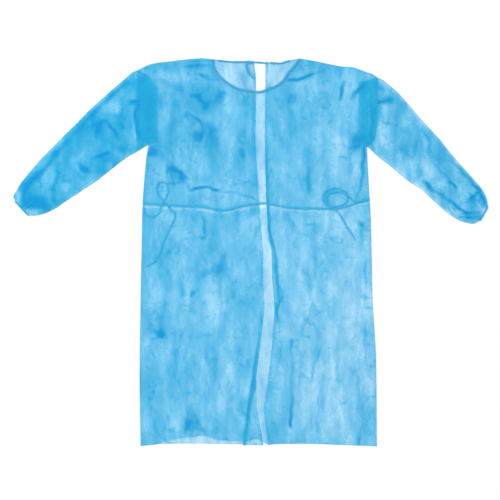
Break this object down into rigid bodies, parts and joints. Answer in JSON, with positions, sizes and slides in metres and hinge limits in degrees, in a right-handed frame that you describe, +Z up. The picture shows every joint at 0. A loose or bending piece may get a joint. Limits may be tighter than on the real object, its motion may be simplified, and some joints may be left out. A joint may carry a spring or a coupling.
{
  "type": "disposable visitor gown with back opening",
  "caption": "Thin blue nonwoven visitor gown laid flat, front up: long set-in sleeves with elastic cuffs, bound scoop neck, waist belt with ties, open down the back.",
  "frame": {"origin": "centre of the gown's plan outline, on the surface that it lies on", "axes": "+X across from the cuff on the left of the picture to the cuff on the right, +Y from the hem to the neck, +Z up from the surface"},
  "size_m": [1.4094, 1.15, 0.0062],
  "materials": {
    "front_cloth": "thin translucent blue spunbond nonwoven, matt, mottled",
    "back_cloth": "thin translucent blue spunbond nonwoven, matt, mottled",
    "sleeve_cloth": "thin translucent blue spunbond nonwoven, matt, mottled",
    "elastic": "gathered nonwoven over sewn elastic, matt",
    "binding": "folded nonwoven strip, sewn, matt",
    "tie_cloth": "narrow folded nonwoven strip, matt"
  },
  "bodies": {
    "root": {"front_panel": "front_cloth", "back_panel_left": "back_cloth", "back_panel_right": "back_cloth", "sleeve_left": "sleeve_cloth", "sleeve_right": "sleeve_cloth", "cuff_elastic_left": "elastic", "cuff_elastic_right": "elastic", "neck_binding_front": "binding", "neck_binding_back_left": "binding", "neck_binding_back_right": "binding", "neck_tie": "binding", "waist_belt": "tie_cloth", "waist_tie_left": "tie_cloth", "waist_tie_right": "tie_cloth"}
  },
  "joints": []
}
